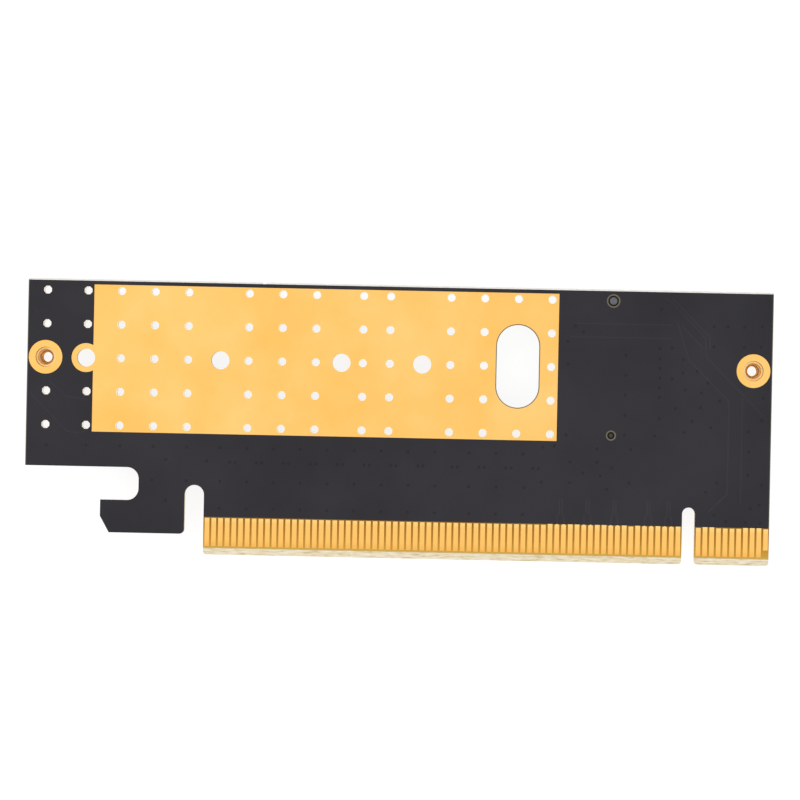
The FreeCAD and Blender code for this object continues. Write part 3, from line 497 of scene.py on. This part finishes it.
def tented_vias(name, face, outwards, crown):
    """Small vias closed by the mask: each a low ring with a dimple, outwards 1 or -1 along Z, in a darkened
    mask that paints the dimple's shade.
    """
    piece = turned(12, VIA_RADIUS * MM, -VIA_ROOT * MM, crown * MM)
    pick_faces(piece, faces_up)
    bpy.ops.transform.resize(value=(0.8, 0.8, 1))
    bpy.ops.mesh.inset(thickness=0.06 * MM)
    bpy.ops.mesh.inset(thickness=0.07 * MM, depth=-(crown + VIA_DIMPLE) * MM)
    if outwards < 0:
        bpy.ops.mesh.select_all(action="SELECT")
        bpy.ops.transform.rotate(value=math.pi, orient_axis="X", center_override=(0, 0, 0))
    piece = repeated(piece, [card(x, y, face) for x, y in via_places()])
    return finished(piece, name, "solder_mask", 60, MASK_PAINTED_VIA_SHADE)


SHORT_ROW_COUNT = 11
SHORT_ROW_START = 111.25    # X from which the contacts count down, one a millimetre
LONG_ROW_START = 109.25     # the same past the key
PAIR_HALF_GAP = 0.2         # between the two tracks of a signal pair
PAIR_SLANT = 0.4            # the height in which they draw together


def contact_x(number):
    """X of a contact counted from the bracket end, on either side of the key."""
    start = SHORT_ROW_START if number <= SHORT_ROW_COUNT else LONG_ROW_START
    return start - number


def contact_pair_tracks(pairs, join_y, end_y):
    """A track up from each contact of a signal pair; the two draw together on the way."""
    for high, low in pairs:
        centre = (contact_x(high) + contact_x(low)) / 2
        for x, side in ((contact_x(high), PAIR_HALF_GAP), (contact_x(low), -PAIR_HALF_GAP)):
            lane = centre + side
            yield ((x, CONTACT_TOP), (x, join_y), (lane, join_y + PAIR_SLANT), (lane, end_y))


TRACKED_CONTACTS = (28, 27, 24, 23, 20, 19, 15, 14)
TRACKED_PINS = (3, 4, 8, 9, 13, 14, 18, 19)
MIDDLE_PIN = 18.5           # the drive line falls between pins 18 and 19
FOOT_X = 92.2               # where a track leaves its pin's foot
FIRST_LANE = 93.0           # X of the first track down beside the socket
LANE_STEP = 0.28
LANE_END = 7.0              # height at which a slanted track reaches its contact's X


def socket_tracks():
    """Tracks of the component side: from the socket's rear pins down to their contacts."""
    for number, (contact, pin) in enumerate(zip(TRACKED_CONTACTS, TRACKED_PINS)):
        lane = FIRST_LANE + LANE_STEP * number
        pin_y = (drive_line - board_low.y) / MM + PIN_PITCH * (pin - MIDDLE_PIN)
        x = contact_x(contact)
        yield ((FOOT_X, pin_y), (lane, pin_y), (lane, LANE_END + lane - x), (x, LANE_END),
               (x, CONTACT_TOP))


SOLDER_PAIRS = ((13, 14), (16, 17), (21, 22), (25, 26), (29, 30))
tracks("solder_side_tracks", [*SOLDER_TRACKS, *contact_pair_tracks(SOLDER_PAIRS, 6.8, 9.4)],
       mask_top, SOLDER_CROWN)
tracks("component_side_tracks", list(socket_tracks()), component_face, COMPONENT_CROWN)
tented_vias("solder_side_vias", mask_top, 1, SOLDER_VIA_CROWN)
tented_vias("component_side_vias", component_face, -1, COMPONENT_VIA_CROWN)


# ---------------------------------------------------------------- drilled rims of the cooling holes

HOLE_PITCH = 5
HOLE_ROWS = [DRIVE_ROW + HOLE_PITCH * step for step in (-2, -1, 0, 1, 2)]
END_COLUMNS = (2.90, 8.93)
PAD_COLUMNS = (13.93, 18.93, 23.93, 32.93, 37.93, 42.93, 49.93, 53.93, 62.93, 67.93, 77.93)
WINDOW_COLUMN = 72.93       # behind the window, with only its outer holes
RIM_SIDES = 16
RIM_INNER = 0.53
RIM_OUTER = 0.66
RIM_START = 0.01            # how far a rim starts below the component face
RIM_SINK = 0.004            # how far it stays under the surface it opens in


def hole_rims(name, places, top):
    """A narrow cream rim round each cooling hole, just under the surface it opens in."""
    piece = ring(RIM_SIDES, RIM_INNER * MM, RIM_OUTER * MM,
                 component_face - RIM_START * MM, top - RIM_SINK * MM)
    piece = repeated(piece, [card(x, y) for x, y in places])
    return finished(piece, name, "laminate", 50, DRILLED)


hole_rims("mask_hole_rims", [(x, y) for x in END_COLUMNS for y in HOLE_ROWS if y != HOLE_ROWS[2]],
          mask_top)
hole_rims("pad_hole_rims", [(x, y) for x in PAD_COLUMNS for y in HOLE_ROWS]
          + [(WINDOW_COLUMN, HOLE_ROWS[0]), (WINDOW_COLUMN, HOLE_ROWS[-1])], gold_top)


# ---------------------------------------------------------------- nut threads and solder

THREAD_PITCH = 0.40
THREAD_TURNS = 6
THREAD_STEPS = 20           # in each turn
THREAD_RIDGE = 0.045        # from the middle to a corner of the ridge's three-sided section
THREAD_INSET = 0.01         # how far that middle stands in from the wall
THREAD_START = 0.25         # above the nut's lower end
BORE = 0.80                 # radius
FILLET_SIDES = 40
FILLET_RADII = (2.10, 2.47)
FILLET_DEPTHS = (0.20, 0.045)   # of its foot and its top, under the component face
FILLET_SLOPE = 0.955        # the foot's width as a share of the top's


def nut_thread(name, node):
    """The thread in a nut's bore: one ridge wound up the wall."""
    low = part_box(node)[0]
    centre = middle(node)
    fresh()
    bpy.ops.mesh.primitive_circle_add(vertices=3, radius=THREAD_RIDGE * MM, fill_type="NGON",
                                      location=(0, 0, 0), rotation=(math.pi / 2, 0, 0))
    piece = bpy.context.object
    bpy.ops.object.transform_apply(rotation=True)
    edit(piece)
    bpy.ops.mesh.select_all(action="SELECT")
    bpy.ops.transform.rotate(value=math.pi / 2, orient_axis="Y", center_override=(0, 0, 0))
    bpy.ops.transform.translate(value=((BORE - THREAD_INSET) * MM, 0, 0))
    bpy.ops.object.mode_set(mode="OBJECT")
    wind = piece.modifiers.new("wind", "SCREW")
    wind.axis = "Z"
    wind.screw_offset = THREAD_PITCH * MM
    wind.iterations = THREAD_TURNS
    wind.steps = wind.render_steps = THREAD_STEPS
    wind.use_merge_vertices = False
    bpy.ops.object.modifier_apply(modifier="wind")
    edit(piece)
    bpy.ops.mesh.select_all(action="SELECT")
    bpy.ops.mesh.fill_holes(sides=4)
    bpy.ops.mesh.select_all(action="SELECT")
    bpy.ops.mesh.normals_make_consistent(inside=False)
    bpy.ops.transform.translate(value=(centre.x, centre.y, low.z + THREAD_START * MM))
    return finished(piece, name, "nut_metal", 50)


def nut_fillet(name, node):
    """The solder fillet round a nut's flange, on its ring under the board."""
    centre = middle(node)
    inner, outer = FILLET_RADII
    foot, top = FILLET_DEPTHS
    piece = ring(FILLET_SIDES, inner * MM, outer * MM, component_face - foot * MM, component_face - top * MM)
    pick_faces(piece, faces_down)
    bpy.ops.transform.resize(value=(FILLET_SLOPE, FILLET_SLOPE, 1), center_override=(0, 0, component_face))
    piece = repeated(piece, [Vector((centre.x, centre.y, 0))])
    return finished(piece, name, "solder", 50)


for side in ("left", "right"):
    nut_thread(f"{side}_nut_thread", f"{side}_nut")
    nut_fillet(f"{side}_nut_fillet", f"{side}_nut")


TIP_SHARES = (0.55, 0.7, 1)     # a joint's tip against its root, along, across and in height
SOFT_SHARE = 0.25               # its bevel, as a share of its smaller side


def joint_blank(width, length, height, lean):
    """A solder joint about the origin, hanging under the board: a slab drawn in towards its tip."""
    fresh()
    bpy.ops.mesh.primitive_cube_add(size=1, location=(0, 0, 0))
    piece = bpy.context.object
    piece.scale = (length, width, height)
    bpy.ops.object.transform_apply(scale=True)
    edit(piece)
    pick_faces(piece, faces_down)
    bpy.ops.transform.resize(value=TIP_SHARES)
    bpy.ops.transform.translate(value=(lean, 0, 0))
    bpy.ops.object.mode_set(mode="OBJECT")
    soft = piece.modifiers.new("soft", "BEVEL")
    soft.width = min(width, height) * SOFT_SHARE
    soft.segments = 1
    bpy.ops.object.modifier_apply(modifier="soft")
    return piece


OUTER_ROWS = ((-18.5, 29), (14.5, 5))   # first pin, in pitches from the drive line, and the count
INNER_ROWS = ((-18.0, 29), (15.0, 4))
PIN_JOINT_WIDTH = 0.26
PIN_JOINT_LENGTH = 0.42
PIN_JOINT_HEIGHT = 0.16
PIN_JOINT_LEAN = 0.05


def pin_joints(name, rows, toe_x, lean):
    """Solder under every pin's foot, its tip leaning along X by lean, 1 or -1."""
    height = PIN_JOINT_HEIGHT * MM
    piece = joint_blank(PIN_JOINT_WIDTH * MM, PIN_JOINT_LENGTH * MM, height, lean * PIN_JOINT_LEAN * MM)
    places = [Vector((toe_x, drive_line + (first + step) * PIN_PITCH * MM, component_face - height / 2))
              for first, count in rows for step in range(count)]
    return finished(repeated(piece, places), name, "solder", 50)


pin_joints("outer_pin_joints", OUTER_ROWS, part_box("socket_outer_pins")[1].x, -1)
pin_joints("inner_pin_joints", INNER_ROWS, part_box("socket_inner_pins")[0].x, 1)


CHIP_JOINT_SHARE = 0.6      # of the chip's height
CHIP_JOINT_LIMIT = 0.5
CHIP_JOINT_REACH = 0.30

def chip_joints():
    """Solder at both ends of every chip on the component side."""
    for chip in [name.removesuffix("_ends") for name in nodes if name.endswith("_ends")]:
        low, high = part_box(f"{chip}_ends")
        height = min((high.z - low.z) * CHIP_JOINT_SHARE, CHIP_JOINT_LIMIT * MM)
        piece = joint_blank(CHIP_JOINT_REACH * MM, high.x - low.x, height, 0.0)
        places = [Vector(((low.x + high.x) / 2, y, component_face - height / 2))
                  for y in (low.y, high.y)]
        finished(repeated(piece, places), f"{chip}_joints", "solder", 50)


chip_joints()


# ---------------------------------------------------------------- ends of the socket's pegs

PEG_X = 87.0
PEG_SPREAD = 10.0           # of each peg from the drive's centre line
UPPER_PEG = 0.57            # radii of the two tips
LOWER_PEG = 0.30
PEG_RISE = 0.07             # how far a tip rises over the housing's top
PEG_ROUND = 0.05


def peg_end(name, y, radius, finish):
    """The moulded tip of a peg, with its rounded edge, down in its hole."""
    top = housing_high.z
    piece = turned(24, radius, top - PEG_ROUND * MM, top + PEG_RISE * MM)
    pick_faces(piece, faces_up)
    bpy.ops.mesh.bevel(offset=PEG_ROUND * MM, segments=2)
    piece = repeated(piece, [card(PEG_X, y)])
    return finished(piece, name, "socket_plastic", 50, finish)


peg_end("upper_peg_end", DRIVE_ROW + PEG_SPREAD, UPPER_PEG * MM, PEG_END_PAINTED_LIGHT)
peg_end("lower_peg_end", DRIVE_ROW - PEG_SPREAD, LOWER_PEG * MM, FINISHES["socket_plastic"])


# ---------------------------------------------------------------- floor, light and camera

FLOOR_GREY = 0.22
FLOOR_GLOW = 0.87
WORLD_GLOW = 0.85


def make_stage():
    """A plain pale floor just under the card."""
    fresh()
    bpy.ops.mesh.primitive_plane_add(size=6.0, location=(0, 0, -0.0002))
    floor = bpy.context.object
    floor.name = "floor"
    material, _, shader, _ = new_material("pale_floor", roughness=0.9)
    shader.inputs["Base Color"].default_value = (FLOOR_GREY, FLOOR_GREY, FLOOR_GREY, 1)
    shader.inputs["Emission Color"].default_value = (1, 1, 1, 1)
    shader.inputs["Emission Strength"].default_value = FLOOR_GLOW
    floor.data.materials.append(material)


def area_light(name, place, size, watts):
    """A soft box aimed at the card's middle."""
    lamp = bpy.data.objects.new(name, bpy.data.lights.new(name, "AREA"))
    lamp.data.shape = "RECTANGLE"
    lamp.data.size, lamp.data.size_y = size
    lamp.data.energy = watts
    lamp.location = place
    lamp.rotation_euler = (-Vector(place)).to_track_quat("-Z", "Y").to_euler()
    bpy.context.scene.collection.objects.link(lamp)


def make_light():
    """Even studio light: a bright world and two soft boxes."""
    world = bpy.context.scene.world or bpy.data.worlds.new("studio")
    bpy.context.scene.world = world
    world.use_nodes = True
    background = world.node_tree.nodes["Background"]
    background.inputs["Color"].default_value = (1, 1, 1, 1)
    background.inputs["Strength"].default_value = WORLD_GLOW
    bpy.context.scene.view_settings.view_transform = "Standard"
    area_light("softbox_left", (-0.5, 0.25, 0.7), (0.6, 0.6), 1.7)
    area_light("softbox_right", (0.5, -0.2, 0.8), (0.6, 0.6), 1.0)


def make_camera():
    """A long lens, nearly straight above the card."""
    data = bpy.data.cameras.new("camera")
    camera = bpy.data.objects.new("camera", data)
    bpy.context.scene.collection.objects.link(camera)
    data.sensor_width = 36.0
    data.lens = 210.0
    data.clip_start, data.clip_end = 0.01, 10.0
    camera.location = (0.0092, 0.0067, 0.6992)
    camera.rotation_euler = [math.radians(angle) for angle in (-0.27, 0.75, 1.17)]
    bpy.context.scene.camera = camera


make_stage()
make_light()
make_camera()
